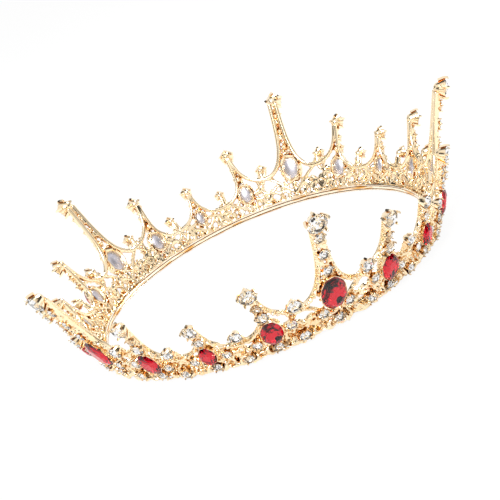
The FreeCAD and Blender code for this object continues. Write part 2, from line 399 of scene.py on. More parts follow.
def set_stones(master, node_name, lift, height=None, turns=(0,)):
    """Puts a copy of a cut stone in each place of a CAD node and joins them."""
    copies = []
    for n, (matrix, width, length) in enumerate(stone_places(node_name)):
        tall = height * MM if height else width
        turn = Matrix.Rotation(math.radians(turns[n % len(turns)]), 4, "Z")
        place = matrix @ Matrix.Translation((0, 0, lift * MM)) @ Matrix.Diagonal(
            (width * GIRDLE, length * GIRDLE, tall, 1)) @ turn
        copies.append(copy_at(master, place))
    finish_piece(join(copies, node_name + "_cut"), node_name)


# ---- the casting ----

def wires(lines, cyclic=False, steps=5, sides=2):
    """Round wires, each through its points with a radius in mm at each point."""
    bpy.ops.object.select_all(action="DESELECT")
    bpy.ops.curve.primitive_bezier_curve_add()
    made = bpy.context.object
    curve = made.data
    curve.splines.clear()
    for points, radii in lines:
        spline = curve.splines.new("BEZIER")
        spline.bezier_points.add(len(points) - 1)
        for bezier, point, radius in zip(spline.bezier_points, points, radii):
            bezier.co = point
            bezier.handle_left_type = bezier.handle_right_type = "AUTO"
            bezier.radius = radius
        spline.use_cyclic_u = cyclic
        spline.resolution_u = steps
    curve.bevel_depth = MM
    curve.bevel_resolution = sides
    curve.use_fill_caps = True
    bpy.ops.object.convert(target="MESH")
    return bpy.context.object


def turned_piece(profile, corners):
    """A turned form about Z, pulled up from (radius, height) pairs that end where they began."""
    bpy.ops.object.select_all(action="DESELECT")
    (radius, height), rest = profile[0], profile[1:]
    bpy.ops.mesh.primitive_circle_add(vertices=corners, radius=radius)
    made = bpy.context.object
    bpy.ops.object.mode_set(mode="EDIT")
    bpy.ops.mesh.select_all(action="SELECT")
    bpy.ops.transform.translate(value=(0, 0, height))
    for to, up in rest:
        bpy.ops.mesh.extrude_edges_move(TRANSFORM_OT_translate={"value": (0, 0, up - height)})
        bpy.ops.transform.resize(value=(to / radius, to / radius, 1), center_override=(0, 0, 0))
        radius, height = to, up
    weld(1e-5)
    return made


def push(made, chosen, grow, rise):
    """Moves the chosen corners outwards by a share and up."""
    bpy.ops.object.mode_set(mode="EDIT")
    bpy.ops.mesh.select_all(action="DESELECT")
    bpy.ops.object.mode_set(mode="OBJECT")
    for v in made.data.vertices:
        v.select = chosen(v.co)
    bpy.ops.object.mode_set(mode="EDIT")
    bpy.ops.transform.resize(value=(grow, grow, 1), center_override=(0, 0, 0))
    bpy.ops.transform.translate(value=(0, 0, rise))
    bpy.ops.object.mode_set(mode="OBJECT")


def ball():
    """A ball of 1 mm radius."""
    bpy.ops.object.select_all(action="DESELECT")
    bpy.ops.mesh.primitive_ico_sphere_add(subdivisions=2, radius=MM)
    return bpy.context.object


def metres(name, description, default):
    return bpy.props.FloatProperty(name=name, description=description, default=default,
                                   subtype="DISTANCE", unit="LENGTH", precision=5)


def number(name, description, default):
    return bpy.props.FloatProperty(name=name, description=description, default=default)


def angle(name, description, degrees):
    return bpy.props.FloatProperty(name=name, description=description,
                                   default=math.radians(degrees), subtype="ANGLE", unit="ROTATION")


def share_of(name, description, default):
    return bpy.props.FloatProperty(name=name, description=description, default=default,
                                   min=0.0, max=1.0, subtype="FACTOR")


def colour(name, description, default):
    """An sRGB hex value."""
    return bpy.props.StringProperty(name=name, description=description, default=default)


class CROWN_Gold(bpy.types.PropertyGroup):
    colour_pale: colour("Pale gold", "Colour of the plate where it is thick", "#FFF1DA")
    colour_warm: colour("Warm gold", "Colour of the plate where it is thin", "#F8D9A2")
    # colours of painted shade: deep gold in the hollows (also the band's wear), dark brown in the
    # seams
    colour_deep_shade_and_wear: colour("Deep gold", "Colour of the plate in hollows", "#E2A552")
    colour_painted_seam_shade: colour("Sunk gold", "Colour down in the seams", "#7C5630")
    roughness: share_of("Roughness", "Of the polished plate", 0.12)
    unevenness: share_of("Unevenness", "Added where the cast plate is dullest", 0.1)


class CROWN_Casting(bpy.types.PropertyGroup):
    bow: number("Bow wire", "Radius of the bowed wires, mm", 1.05)
    strut: number("Strut", "Radius of the openwork's struts, mm", 0.68)
    curl: number("Curl", "Radius of the wire of the small curls, mm", 0.60)
    voxel: metres("Mould grain", "Cell in which the wires are fused", 0.00028)
    fillet: metres("Fillet", "Half the width of the cracks that the metal filled", 0.00020)


# Millimetres on the wall: heights of the bowed wires' tops at their lowest, and then for the tall,
# the middle and the short spire the height of the tip, half the width of the stem, how gently a
# wire leaves it, how far it leans, and its red stone's height, width and length
HIGH_DIP = 17.0
LOW_DIP = 11.7
TIPS = (51.2, 33.5, 25.7)
STEMS = (2.5, 1.5, 1.3)
SWEEPS = (7.3, 4.2, 4.0)
LEANS = (0.0, 1.9, 0.0)
SLIMS = (1.10, 0.82, 0.76)    # how thick a wire is at its top, as a share
GEM_AT = (17.3, 12.3, 11.3)
GEMS = ((10.0, 14.0), (8.0, 11.0), (6.0, 9.0))
SEAT_TOP = 3.5                # lift of the oval seats' rims
CUP_FOOT = 0.7                # lift at which the cups begin
CUP_LEAST, CUP_SHARE = 0.7, 0.3     # height of a cup's rim over the wall: the least, and a share
RAIL_AT = 2.6
VALLEYS = ((0.5, HIGH_DIP, 0, 1), (1.5, LOW_DIP, 1, 2))     # (bay, dip, spire before, spire after)
# (bay, foot, head, radius) of the leg under each stone over a valley, on one side of the tall spire
LEGS = ((0.58, HIGH_DIP - 0.6, 20.3, 0.85), (1.47, LOW_DIP - 0.6, 16.7, 0.7))

# (bay, slope) of the ends and middle of each strut of the openwork, from the tall spire sideways
STRUTS = (
    ((0.0, 9.8), (0.0, 7.2), (0.0, 4.4)),
    ((0.03, 5.4), (0.12, 7.6), (0.22, 9.6)),
    ((0.22, 9.6), (0.33, 12.6), (0.43, 14.5)),
    ((0.43, 14.5), (0.48, 15.6), (0.52, 16.6)),
    ((0.24, 9.4), (0.30, 7.4), (0.33, 2.6)),
    ((0.32, 6.6), (0.40, 7.8), (0.50, 8.6)),
    ((0.37, 10.6), (0.42, 9.2), (0.50, 8.6)),
    ((0.58, 4.2), (0.52, 6.4), (0.50, 8.6)),
    ((0.50, 8.6), (0.60, 9.2), (0.70, 12.0)),
    ((0.58, 16.6), (0.60, 14.0), (0.70, 12.0)),
    ((0.70, 12.0), (0.69, 15.4), (0.75, 18.2)),
    ((0.70, 12.0), (0.79, 11.4), (0.84, 11.2)),
    ((0.61, 9.4), (0.72, 7.6), (0.84, 8.4)),
    ((0.58, 4.2), (0.66, 5.4), (0.72, 7.6)),
    ((0.80, 7.9), (0.86, 5.8), (0.87, 2.6)),
    ((1.0, 6.6), (1.0, 5.0), (1.0, 3.8)),
    ((1.0, 3.8), (1.11, 6.0), (1.27, 8.5)),
    ((1.27, 8.5), (1.18, 9.4), (1.15, 10.6)),
    ((1.27, 8.5), (1.34, 10.2), (1.42, 11.2)),
    ((1.27, 8.5), (1.37, 6.8), (1.38, 2.6)),
    ((1.38, 6.2), (1.48, 7.9), (1.50, 11.2)),
    ((1.47, 3.7), (1.58, 5.4), (1.62, 7.3)),
    ((1.62, 7.3), (1.66, 8.4), (1.74, 9.1)),
    ((1.62, 7.3), (1.56, 8.5), (1.50, 9.2)),
    ((1.74, 9.1), (1.68, 10.4), (1.61, 11.8)),
    ((1.74, 9.1), (1.82, 9.6), (1.88, 10.4)),
    ((1.74, 9.1), (1.84, 6.6), (2.0, 3.7)),
    ((1.70, 8.0), (1.73, 5.6), (1.70, 2.6)),
    ((2.0, 6.6), (2.0, 5.0), (2.0, 3.7)),
)
# (bay, slope, radius) of the places that the curls and lumps leave open
OPENINGS = ((0.27, 15.4, 2.3), (0.50, 12.2, 2.7), (0.42, 5.8, 0.9), (0.80, 14.5, 2.0),
            (0.83, 9.6, 0.9), (1.27, 11.6, 2.3), (1.60, 9.2, 1.4), (1.90, 13.2, 2.2))
CURL_ROWS = (5.2, 9.0)
CURL_PITCH = 4.6
CURL_RADIUS = 1.9
TOOTH_PITCH = 2.9
BOW_STEPS = 11
BEAD_LIFT, BEAD_PITCH, KNOT_PITCH = WALL_MIDDLE + 1.25, 1.9, 2.4
LEAF_PITCH, SEAT_LEAF_PITCH = 1.1, 1.7
LUMP_SIZES = (0.6, 0.95)      # radii of the beads and knots, mm
# Slopes of the cross wires up the tall stem, between its stones
CROSS_WIRES = (24.6, 32.0, 33.4, 39.9, 41.2, 46.9, 48.3)
# (slope, radius, lift, waver) of the rails along the foot
RAILS = ((1.2, 0.8, 0.9, 0.1), (RAIL_AT, 0.6, 0.6, 0.1), (2.4, 0.55, 3.3, 0.6))
RAIL_STEPS = 64
CLAWS = 5                     # petals and claws of a cup
SEED = 7
MOST_TRIANGLES = 150000       # of one casting's openwork


def sideways(spire, slope):
    return LEANS[spire] * max(0.0, slope - GEM_AT[spire]) / (TIPS[spire] - GEM_AT[spire])


def bow_side(dip, spire, away, radius):
    """(room from the valley's middle in mm, slope) along the wire on one side of a valley."""
    out = []
    for n in range(BOW_STEPS + 1):
        d = (TIPS[spire] - dip - 1.0) * (n / BOW_STEPS) ** 2.0
        slope = dip + d
        room = wall_radius(slope) / MM * math.sin(PITCH / 2)
        room += away * sideways(spire, slope) - STEMS[spire]
        bend = math.exp(-d / SWEEPS[spire])
        out.append((room * math.sqrt(1 - bend) + radius * (1 - bend), slope - radius * bend))
    return out


def bow(middle_bay, dip, spire, side, away, radius, lift):
    """One side of a bowed wire, from the middle of a valley up a stem."""
    points = []
    for room, slope in bow_side(dip, spire, away, radius):
        a = math.asin(min(0.9, room * MM / wall_radius(slope)))
        points.append(spot(middle_bay + side * a / PITCH, slope, lift))
    return points


def every(points, pitch):
    """Places a pitch apart along a line of points."""
    found = []
    left = pitch / 2
    for a, b in zip(points, points[1:]):
        run = (b - a).length
        while left <= run:
            found.append(a + (b - a) * (left / run))
            left += pitch
        left -= run
    return found


def folded(bay):
    """Distance in bays from the nearest tall spire."""
    return abs((bay + BAYS / 2) % BAYS - BAYS / 2)


def is_open(bay, slope, margin):
    """Whether a place lies in an opening or behind a red stone."""
    near = folded(bay)
    span = wall_radius(slope) / MM * PITCH
    for at, height, radius in OPENINGS:
        if math.hypot((near - at) * span, slope - height) < radius + margin:
            return True
    spire = round(near)
    width, length = GEMS[spire]
    return math.hypot((near - spire) * span / (width / 2),
                      (slope - GEM_AT[spire]) / (length / 2)) < 0.95


def stones_here():
    """(centre, normal, half width) of every round stone of the first casting."""
    found = []
    for group in ROUND_GROUPS:
        for matrix, width, _ in stone_places(group + "_crystals_1"):
            found.append((matrix.translation, matrix.col[2].to_3d(), width / 2))
    return found


def hides_stone(place, stones, margin):
    """Whether something proud at a place would cover a round stone."""
    for centre, normal, reach in stones:
        off = place - centre
        if (off - normal * off.dot(normal)).length < reach + margin * MM:
            return True
    return False


def lay_bows(chance):
    """Bowed wires with the beaded edge that the front of each carries."""
    s = settings("crown_casting")
    bead = ball()
    lines, beads = [], []
    for side in (1, -1):
        for valley, dip, left, right in VALLEYS:
            for spire, toward in ((left, -1), (right, 1)):
                away = (0, 1 if valley < 1 else -1, 0)[spire]
                middle = valley * side
                if valley > 1 and toward * side + middle < SEAM:
                    middle += BAYS
                line = bow(middle, dip, spire, toward * side, away, s.bow, WALL_MIDDLE)
                count = len(line)
                shares = [1 - (1 - SLIMS[spire]) * min(1, 2 * n / count) for n in range(count)]
                lines.append((line, [s.bow * share for share in shares]))
                front = bow(middle, dip, spire, toward * side, away, s.bow, BEAD_LIFT)
                for place in every(front, BEAD_PITCH * MM):
                    place += Vector([chance.uniform(-0.3, 0.3) * MM for _ in range(3)])
                    size = chance.uniform(*LUMP_SIZES)
                    beads.append(copy_at(bead, Matrix.Translation(place) @ Matrix.Scale(size, 4)))
    remove(bead)
    return join([wires(lines)] + beads, "bows")


def leaf(chance, along=0.0, stray=1.6):
    """A long drop lying in the wall, at some angle to a direction."""
    turn = Matrix.Rotation(along + chance.uniform(-stray, stray), 4, "Z")
    return turn @ Matrix.Diagonal((chance.uniform(0.5, 0.75), chance.uniform(1.1, 2.1),
                                   chance.uniform(0.6, 0.9), 1))


def lay_struts(chance, stones):
    """Struts of the openwork, doubled in front by a thinner, knotted branch."""
    s = settings("crown_casting")
    lines, lumps = [], []
    lump = ball()
    for side in (1, -1):
        for places in STRUTS:
            mean = sum(b for b, _ in places) / len(places) * side
            shift = BAYS if mean < SEAM else 0
            points = [spot(b * side + shift, v) for b, v in places]
            lines.append((points, [s.strut * chance.uniform(0.9, 1.3) for _ in points]))
            points = [spot(b * side + shift, v + chance.uniform(-0.4, 0.4), 1.5) for b, v in places]
            lines.append((points, [s.strut * chance.uniform(0.5, 1.0) for _ in points]))
            for place in every(points, KNOT_PITCH * MM):
                place += place.normalized() * 0.5 * MM
                size = Matrix.Scale(chance.uniform(*LUMP_SIZES), 4)
                if not hides_stone(place, stones, 0.6):
                    lumps.append(copy_at(lump, Matrix.Translation(place) @ size))
    remove(lump)
    return join([wires(lines)] + lumps, "struts")


def lay_curls(chance, stones):
    """Small curls that fill the lower wall, with lumps left by the mould."""
    s = settings("crown_casting")
    ring = [Vector((math.cos(math.tau * n / 8), math.sin(math.tau * n / 8), 0)) * CURL_RADIUS * MM
            for n in range(8)]
    curl = wires([(ring, [s.curl] * 8)], cyclic=True, steps=2)
    lump = ball()
    parts = []
    span = wall_radius(CURL_ROWS[0]) / MM * PITCH
    across = round(BAYS * span / CURL_PITCH)
    for row, slope in enumerate(CURL_ROWS):
        for n in range(across):
            bay = SEAM + BAYS * (n + 0.5 * (row % 2) + 0.25) / across
            bay += chance.uniform(-0.5, 0.5) / span
            at = slope + chance.uniform(-0.5, 0.5)
            if is_open(bay, at, 0.9):
                continue
            turn = Matrix.Rotation(chance.uniform(0, math.pi), 4, "Z")
            size = Matrix.Diagonal((chance.uniform(0.85, 1.2), chance.uniform(0.75, 1.0), 1, 1))
            place = seat_matrix(bay, at, chance.uniform(0.7, 1.0)) @ turn @ size
            parts.append(copy_at(curl, place))
            for _ in range(3):
                part = chance.randrange(8)
                on = ring[part] + Vector((0, 0, chance.uniform(0.6, 1.5) * MM))
                on = place @ Matrix.Translation(on) @ leaf(chance, math.tau * part / 8, 0.5)
                if not hides_stone(on.translation, stones, 0.6):
                    parts.append(copy_at(lump, on))
    remove(curl, lump)
    return join(parts, "curls")


def lay_foot(chance, stones):
    """Foot of the wall: its rails, and the lumps and hooks that stand out from them."""
    lines = []
    for slope, radius, lift, waver in RAILS:
        points = [spot(SEAM + BAYS * n / RAIL_STEPS, slope + chance.uniform(-waver, waver) * 0.5,
                       lift + chance.uniform(-waver, waver)) for n in range(RAIL_STEPS + 1)]
        lines.append((points, [radius * chance.uniform(1 - waver, 1 + waver) for _ in points]))
    span = wall_radius(RAIL_AT) / MM * PITCH
    count = round(BAYS * span / TOOTH_PITCH)
    lump = ball()
    lumps = []
    for n in range(count):
        bay = SEAM + BAYS * (n + 0.5) / count + chance.uniform(-0.5, 0.5) / span
        slant = chance.uniform(-2.2, 2.2) / span
        out = chance.uniform(2.2, 4.0)
        foot = 0.9 + 0.4 * out
        points = [spot(bay, foot - 0.2, 1.2),
                  spot(bay + slant * 0.4, foot + chance.uniform(-0.1, 0.4), out),
                  spot(bay + slant, chance.uniform(2.9, 3.6), out - 0.2),
                  spot(bay + slant, chance.uniform(4.0, 5.0), 1.1)]
        if not hides_stone(points[2], stones, 0.7):
            lines.append((points, [chance.uniform(0.45, 0.8) for _ in points]))
    for _ in range(round(count * 1.6)):
        bay = SEAM + BAYS * chance.random()
        out = chance.uniform(1.8, 4.0)
        foot = (1.0 + 0.38 * out) / 0.92
        place = seat_matrix(bay, foot + chance.uniform(0, 1) ** 2 * 3.0, out)
        if not hides_stone(place.translation, stones, 0.5):
            lumps.append(copy_at(lump, place @ leaf(chance)))
    remove(lump)
    return join([wires(lines)] + lumps, "foot")


def lay_stems(chance, stones):
    """Cross wires and leaves of the stems, leaves of the seats, and legs of the valleys' stones."""
    lines = []
    lump = ball()
    lumps = []
    for middle in (0, 1, -1, 2):
        spire = abs(middle)
        slope = GEM_AT[spire] + GEMS[spire][1] / 2 + 1.5
        while slope < TIPS[spire] - 3.0:
            aside = chance.uniform(-0.55, 0.55) * STEMS[spire]
            lean = sideways(spire, slope) * (1 if middle > 0 else -1)
            place = seat_matrix(middle, slope, chance.uniform(1.6, 2.4), aside + lean)
            if not hides_stone(place.translation, stones, -0.2):
                lumps.append(copy_at(lump, place @ leaf(chance)))
            slope += LEAF_PITCH
    for group in OVAL_GROUPS:
        for matrix, width, length in stone_places(group + "_1"):
            count = round(math.pi * (width + length) / 2 / (SEAT_LEAF_PITCH * MM))
            for n in range(count):
                a = math.tau * (n + chance.uniform(-0.3, 0.3)) / count
                foot = Vector((math.cos(a) * width * 0.52, math.sin(a) * length * 0.52,
                               chance.uniform(-2.2, -0.9) * MM))
                size = Matrix.Diagonal((chance.uniform(0.45, 0.7), chance.uniform(0.45, 0.7),
                                        chance.uniform(0.6, 1.1), 1))
                if not hides_stone(matrix @ foot, stones, 0.3):
                    lumps.append(copy_at(lump, matrix @ Matrix.Translation(foot) @ size))
    remove(lump)
    for slope in CROSS_WIRES:
        lines.append(([spot(0, slope, 0.8, -1.8), spot(0, slope + 0.5, 1.2, 0),
                       spot(0, slope, 0.8, 1.8)], [0.7] * 3))
    for side in (1, -1):
        for bay, foot, head, radius in LEGS:
            at = bay * side
            if at < SEAM + 0.1:
                at += BAYS
            lines.append(([spot(at, foot), spot(at, (foot + head) / 2, 1.0), spot(at, head, 1.5)],
                          [radius] * 3))
            for aside in (-1, 1):
                lines.append(([spot(at, foot + 0.2, 0.8, aside * 2.9),
                               spot(at, foot + 1.2, 1.0, aside * 1.8),
                               spot(at, head - 1.2, 1.4, aside * 1.5)], [0.6, 0.5, 0.45]))
    return join([wires(lines)] + lumps, "stems")


def cup_master():
    """Star cup for a stone of unit width: five petals on a small foot, one unit deep."""
    made = turned_piece(((0.03, -1.16), (0.16, -1.12), (0.27, -0.96), (0.45, -0.40), (0.545, 0.06),
                         (0.505, 0.04), (0.41, -0.42), (0.03, -0.9), (0.03, -1.16)), 3 * CLAWS)

    def petal(co):
        apart = 360 / CLAWS
        turn = math.degrees(math.atan2(co.x, co.y)) % apart
        return min(turn, apart - turn) < 5

    push(made, lambda co: co.z > -0.1 and petal(co), 1.10, 0.07)
    push(made, lambda co: co.z > -0.1 and not petal(co), 0.98, -0.09)
    return made


def seat_master():
    """Oval seat for a stone of unit width: a cone with a wavy hole for the silvered back."""
    corners = 28
    made = turned_piece(((0.35, -0.60), (0.40, -0.93), (0.435, -1.0), (0.475, -0.94), (0.52, -0.30),
                         (0.54, 0.05), (0.505, 0.07), (0.47, -0.12), (0.35, -0.36), (0.35, -0.60)),
                        corners)

    def wave(co):
        return co.z < -0.5 and round(math.atan2(co.x, co.y) / math.tau * corners) % 4 == 1

    push(made, wave, 1.09, 0.10)
    return made


def claw_master():
    """One bent claw for a stone of unit width, pointing along +Y from the stone's middle."""
    points = [Vector((0, 0.44, -0.36)), Vector((0, 0.555, -0.08)), Vector((0, 0.60, 0.10)),
              Vector((0, 0.585, 0.19)), Vector((0, 0.53, 0.235))]
    radii = [0.075 / MM * share for share in (1.3, 1.3, 1.0, 0.7, 0.3)]
    return wires([(points, radii)], steps=2, sides=0)


def lay_cups():
    """Cups, claws and seats of the first casting, sharper than the openwork that they stand on."""
    cup, claw, seat = cup_master(), claw_master(), seat_master()
    parts = []
    for group in ROUND_GROUPS:
        for matrix, width, _ in stone_places(group + "_crystals_1"):
            depth = (WALL + CUP_LEAST + CUP_SHARE * width / MM - CUP_FOOT) * MM
            parts.append(copy_at(cup, matrix @ Matrix.Diagonal((width, width, depth, 1))))
            for n in range(CLAWS):
                turn = Matrix.Rotation(math.tau * n / CLAWS, 4, "Z")
                parts.append(copy_at(claw, matrix @ turn @ Matrix.Scale(width, 4)))
    for group in OVAL_GROUPS:
        for matrix, width, length in stone_places(group + "_1"):
            depth = (SEAT_TOP - 0.2) * MM
            parts.append(copy_at(seat, matrix @ Matrix.Diagonal((width, length, depth, 1))))
    remove(cup, claw, seat)
    return parts


def fuse(piece, cell):
    """Fuses forms into one skin."""
    modify(piece, "REMESH", mode="VOXEL", voxel_size=cell)


def swell(piece, amount):
    """Moves the skin outwards; out, fused and back in again fills cracks and pinholes."""
    modify(piece, "DISPLACE", strength=amount, mid_level=0.0)


def lay_castings():
    """Models the first casting and turns copies of it to the other places."""
    s = settings("crown_casting")
    chance = random.Random(SEED)
    stones = stones_here()
    fused = join([lay_bows(chance), lay_struts(chance, stones), lay_curls(chance, stones),
                  lay_foot(chance, stones), lay_stems(chance, stones)], "casting_look")
    fuse(fused, s.voxel)
    swell(fused, s.fillet)
    fuse(fused, s.voxel)
    swell(fused, -s.fillet)
    modify(fused, "SMOOTH", factor=0.5, iterations=3)
    modify(fused, "DECIMATE", ratio=min(1.0, MOST_TRIANGLES / (2 * len(fused.data.polygons))))
    bpy.ops.object.shade_smooth()
    cups = join(lay_cups(), "cups")
    bpy.ops.object.shade_smooth_by_angle(angle=math.radians(35))
    master = join([fused, cups], "casting_look_1")
    gold = gold_material()
    master.data.materials.clear()
    master.data.materials.append(gold)
    for n in range(CASTINGS):
        turn = Matrix.Rotation(math.tau / CASTINGS * n, 4, "Z")
        piece = master if n == 0 else copy_at(master, turn)
        piece.name = "casting_look_%d" % (n + 1)
        finish_piece(piece, "casting_%d" % (n + 1))


# ---- operators ----

# Dark cloths of the light tent: (azimuth from the front, elevation, half width, soft edge), degrees
DARK_PANELS = ((-75, 25, 14, 6), (48, 22, 13, 6), (-13, 8, 10, 6), (165, 60, 16, 8),
               (110, 35, 12, 6), (-140, 30, 12, 6))
PANEL_SHADE = 0.04
PANEL_IN_GLASS = 0.3          # the least that a ray leaving a stone meets
LAMPS = (("key", (-0.5, -0.7, 0.9), 0.35, 10.0), ("rim", (0.6, 0.5, 0.8), 0.25, 6.0))
TABLE_AT = -0.0004
TABLE_SEEN = 0.93             # how far the table glows by itself: seen directly,
TABLE_IN_GLASS = 0.92         # through a stone,
TABLE_MIRRORED = (0.05, 0.45)     # and mirrored in gold, in the ring's shadow and away from it
FOOTPRINT = 0.080             # radius of the ring's shadow on the table
SHADOW_EDGE = (0.003, 0.014)


class CROWN_OT_stage(bpy.types.Operator):
    """Floor, studio light and camera"""
    bl_idname = "crown.stage"
    bl_label = "Studio"

    def execute(self, context):
        s = settings("crown_camera")
        bpy.ops.object.select_all(action="DESELECT")
        bpy.ops.mesh.primitive_plane_add(size=6.0, location=(0, 0, TABLE_AT))
        floor = context.object
        floor.name = "floor"
        floor.data.transform(floor.matrix_world)
        floor.matrix_world = Matrix.Identity(4)
        made = blank_material("white_table")
        t = made.node_tree
        ray = node(t, "ShaderNodeLightPath").outputs
        at = node(t, "ShaderNodeTexCoord")
        flat = node(t, "ShaderNodeMapping", {"Vector": at.outputs["Object"], "Scale": (1, 1, 0)})
        away = node(t, "ShaderNodeVectorMath", {0: flat.outputs["Vector"]}, operation="LENGTH")
        away = reckon(t, "SUBTRACT", away.outputs["Value"], FOOTPRINT)
        away = reckon(t, "ABSOLUTE", away)
        mirrored = reckon(t, "MULTIPLY", ray["Is Glossy Ray"],
                          ranged(t, away, *SHADOW_EDGE, *TABLE_MIRRORED))
        through = reckon(t, "MULTIPLY", ray["Is Transmission Ray"], TABLE_IN_GLASS)
        direct = reckon(t, "MULTIPLY", ray["Is Camera Ray"], TABLE_SEEN)
        share = reckon(t, "MAXIMUM", direct, reckon(t, "MAXIMUM", mirrored, through))
        paper = node(t, "ShaderNodeBsdfDiffuse", {"Color": linear("#FFFFFF")})
        glow = node(t, "ShaderNodeEmission", {"Color": linear("#FFFFFF"), "Strength": 1.0})
        both = node(t, "ShaderNodeMixShader", {0: share, 1: paper.outputs[0], 2: glow.outputs[0]})
        node(t, "ShaderNodeOutputMaterial", {"Surface": both.outputs[0]})
        floor.data.materials.append(made)

        world = bpy.data.worlds.new("light_tent")
        context.scene.world = world
        world.use_nodes = True
        t = world.node_tree
        t.nodes.clear()
        at = node(t, "ShaderNodeTexCoord")
        bright = 1.0
        for azimuth, elevation, wide, soft in DARK_PANELS:
            a, e = math.radians(azimuth), math.radians(elevation)
            aim = (math.sin(a) * math.cos(e), -math.cos(a) * math.cos(e), math.sin(e))
            near = node(t, "ShaderNodeVectorMath", {0: at.outputs["Generated"], 1: aim},
                        operation="DOT_PRODUCT")
            off = ranged(t, near.outputs["Value"], math.cos(math.radians(wide)),
                         math.cos(math.radians(wide + soft)), PANEL_SHADE)
            bright = reckon(t, "MINIMUM", bright, off)
        ray = node(t, "ShaderNodeLightPath").outputs
        through = reckon(t, "MULTIPLY", ray["Is Transmission Ray"], PANEL_IN_GLASS)
        bright = reckon(t, "MAXIMUM", bright, through)
        glow = node(t, "ShaderNodeBackground", {"Color": bright, "Strength": 1.0})
        node(t, "ShaderNodeOutputWorld", {"Surface": glow.outputs[0]})

        for name, place, size, power in LAMPS:
            bpy.ops.object.light_add(type="AREA", location=place)
            lamp = context.object
            lamp.name = name
            lamp.data.size = size
            lamp.data.energy = power
            aim = Vector((0, 0, s.height)) - Vector(place)
            lamp.rotation_euler = aim.to_track_quat("-Z", "Y").to_euler()
        place_camera(context)
        context.scene.view_settings.view_transform = "Standard"
        return {"FINISHED"}


def place_camera(context):
    s = settings("crown_camera")
    data = bpy.data.cameras.new("camera")
    camera = bpy.data.objects.new("camera", data)
    context.scene.collection.objects.link(camera)
    az, el, roll = s.azimuth, s.elevation, s.roll
    back = Vector((math.sin(az) * math.cos(el), -math.cos(az) * math.cos(el), math.sin(el)))
    right = Vector((math.cos(az), math.sin(az), 0))
    up = back.cross(right)
    x = right * math.cos(roll) + up * math.sin(roll)
    y = up * math.cos(roll) - right * math.sin(roll)
    m = Matrix((x, y, back)).transposed().to_4x4()
    m.translation = back * s.distance + Vector((0, 0, s.height))
    camera.matrix_world = m
    data.sensor_width = 36.0
    data.lens = s.lens
    data.shift_x = s.shift_x
    data.shift_y = s.shift_y
    data.clip_start = 0.01
    context.scene.camera = camera


class CROWN_Camera(bpy.types.PropertyGroup):
    azimuth: angle("Azimuth", "From the front", -13.31)
    elevation: angle("Elevation", "Above the table", 19.16)
    roll: angle("Roll", "About the view", -23.90)
    distance: metres("Distance", "From the point looked at", 0.4742)
    height: metres("Height", "Of the point looked at, on the ring's axis", 0.0200)
    lens: number("Lens", "Focal length, mm", 80.57)
    shift_x: number("Shift X", "Sideways, in widths of the picture", 0.0038)
    shift_y: number("Shift Y", "Upwards, in widths of the picture", -0.0341)


class CROWN_Band(bpy.types.PropertyGroup):
    bevel: metres("Inner bevel", "Bevel of the edges inside the ring", 0.00025)
    outer_bevel: metres("Outer bevel", "Bevel of the edges outside the ring", 0.0002)
    groove_width: metres("Groove", "Half the width of a groove", 0.00024)
    groove_depth: metres("Groove depth", "Depth of a groove", 0.00035)


class CROWN_OT_band(bpy.types.Operator):
    """Smooth head band, rolled to a ring"""
    bl_idname = "crown.band"
    bl_label = "Head band"

    def execute(self, context):
        s = settings("crown_band")
        top = band_high.z
        profile = [(HEAD_RADIUS + s.bevel, 0.0), (HEAD_RADIUS, s.bevel)]
        for groove in (GROOVE_AT, top - TOP_GROOVE_AT):
            profile += [(HEAD_RADIUS, groove - s.groove_width),
                        (HEAD_RADIUS + s.groove_depth, groove),
                        (HEAD_RADIUS, groove + s.groove_width)]
        profile += [(HEAD_RADIUS, top - s.bevel), (HEAD_RADIUS + s.bevel, top),
                    (BAND_OUTSIDE - s.outer_bevel, top), (BAND_OUTSIDE, top - s.outer_bevel),
                    (BAND_OUTSIDE, s.outer_bevel), (BAND_OUTSIDE - s.outer_bevel, 0.0)]
        bpy.ops.object.select_all(action="DESELECT")
        bpy.ops.mesh.primitive_circle_add(vertices=len(profile), radius=0.01)
        piece = context.object
        for v, (r, z) in zip(piece.data.vertices, profile):
            v.co = (r, 0, z)
        bpy.ops.object.mode_set(mode="EDIT")
        bpy.ops.mesh.select_all(action="SELECT")
        bpy.ops.mesh.spin(steps=180, angle=math.tau, center=(0, 0, 0), axis=(0, 0, 1))
        weld(1e-6)
        bpy.ops.object.shade_smooth_by_angle(angle=math.radians(25))
        piece.name = "head_band_look"
        piece.data.materials.append(band_material())
        finish_piece(piece, "base_band")
        return {"FINISHED"}


class CROWN_OT_castings(bpy.types.Operator):
    """Five cast openwork walls with their cups, claws and seats"""
    bl_idname = "crown.castings"
    bl_label = "Castings"

    def execute(self, context):
        lay_castings()
        return {"FINISHED"}


class CROWN_Stones(bpy.types.PropertyGroup):
    clear_ior: number("Clear glass", "Refractive index of the clear stones", 1.55)
    red_ior: number("Red glass", "Refractive index of the red stones", 1.50)
    red: colour("Red", "Colour of the red glass", "#FF1632")
    red_unit: number("Red stone", "Unit of the red stones' heights, mm", 5.0)
    bowl_spread: number("Bowl", "Width of a silvered back over its CAD plate's", 1.5)
    bowl_depth: number("Bowl depth", "Twice the depth of a silvered back, mm", 4.2)
    lacquer: colour("Lacquer", "Colour of the silvered backs", "#CFCBD2")
    dullness: share_of("Dullness", "Roughness of the silvered backs", 0.36)


# Facets as (radius, height) pairs of a stone of unit width; red stones' heights have their own unit
MAINS = 8
CLEAR_FRONT = ((0.49, 0.02), (0.28, 0.17))
CLEAR_BACK = ((0.49, -0.02), (0.05, -0.422))
RED_FRONT = ((0.49, 0.02), (0.40, 0.26), (0.27, 0.38))
RED_BACK = ((0.49, -0.02), (0.40, -0.17), (0.22, -0.28), (0.0, -0.34))
# Foil of each back facet of a red stone by half step: 1 bright, 2 painted half shade, 3 painted
# shade
RED_PAINTED_SHADES = (1, 1, 1, 2, 1, 3, 2, 1, 1, 1, 1, 1, 1, 3, 1, 1)
CLEAR_TURNS = (45, 180, 270, 90, 315, 0, 135)     # degrees, one stone after another


